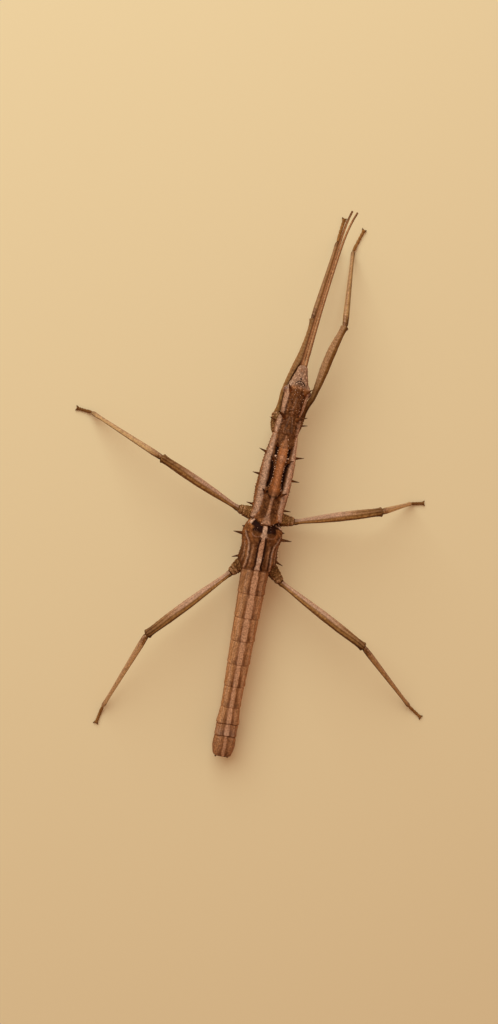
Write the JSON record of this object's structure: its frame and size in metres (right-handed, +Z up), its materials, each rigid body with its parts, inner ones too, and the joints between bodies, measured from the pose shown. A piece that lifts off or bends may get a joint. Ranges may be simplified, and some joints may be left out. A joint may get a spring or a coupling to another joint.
{
  "type": "giant stick insect",
  "caption": "Wingless giant stick insect at rest: long twig-like body with spiny thorax, fore legs and feelers stretched ahead, feet with claws.",
  "frame": {"origin": "on the floor, under the middle of the bounding box", "axes": "+Y towards the head, +X to the insect's right, +Z up; the soles lie on Z = 0"},
  "size_m": [0.1616, 0.2174, 0.0338],
  "materials": {
    "cuticle_thorax": "matt brown cuticle with granules, pale ridges and near-black furrows",
    "cuticle_abdomen": "matt brown cuticle with a pale pinkish stripe along the middle",
    "cuticle_leg": "satin ridged cuticle, pale above and dark brown below",
    "feeler": "satin orange-brown",
    "foot": "satin dark brown",
    "eye": "glossy, finely mottled pinkish grey"
  },
  "bodies": {
    "root": {"head": "cuticle_thorax", "prothorax": "cuticle_thorax", "mesothorax": "cuticle_thorax", "metathorax": "cuticle_thorax", "mouthparts": "cuticle_thorax", "eye_L": "eye", "eye_R": "eye", "feeler_L": "feeler", "feeler_R": "feeler", "abdomen_2": "cuticle_abdomen", "abdomen_3": "cuticle_abdomen", "abdomen_4": "cuticle_abdomen", "abdomen_5": "cuticle_abdomen", "abdomen_6": "cuticle_abdomen", "abdomen_7": "cuticle_abdomen", "abdomen_8": "cuticle_abdomen", "abdomen_9": "cuticle_abdomen", "abdomen_10": "cuticle_abdomen", "cercus_L": "foot", "cercus_R": "foot", "coxa_fore_L": "cuticle_leg", "femur_fore_L": "cuticle_leg", "tibia_fore_L": "cuticle_leg", "tarsus_fore_L": "foot", "coxa_fore_R": "cuticle_leg", "femur_fore_R": "cuticle_leg", "tibia_fore_R": "cuticle_leg", "tarsus_fore_R": "foot", "coxa_mid_L": "cuticle_leg", "femur_mid_L": "cuticle_leg", "tibia_mid_L": "cuticle_leg", "tarsus_mid_L": "foot", "coxa_mid_R": "cuticle_leg", "femur_mid_R": "cuticle_leg", "tibia_mid_R": "cuticle_leg", "tarsus_mid_R": "foot", "coxa_hind_L": "cuticle_leg", "femur_hind_L": "cuticle_leg", "tibia_hind_L": "cuticle_leg", "tarsus_hind_L": "foot", "coxa_hind_R": "cuticle_leg", "femur_hind_R": "cuticle_leg", "tibia_hind_R": "cuticle_leg", "tarsus_hind_R": "foot"}
  },
  "joints": []
}
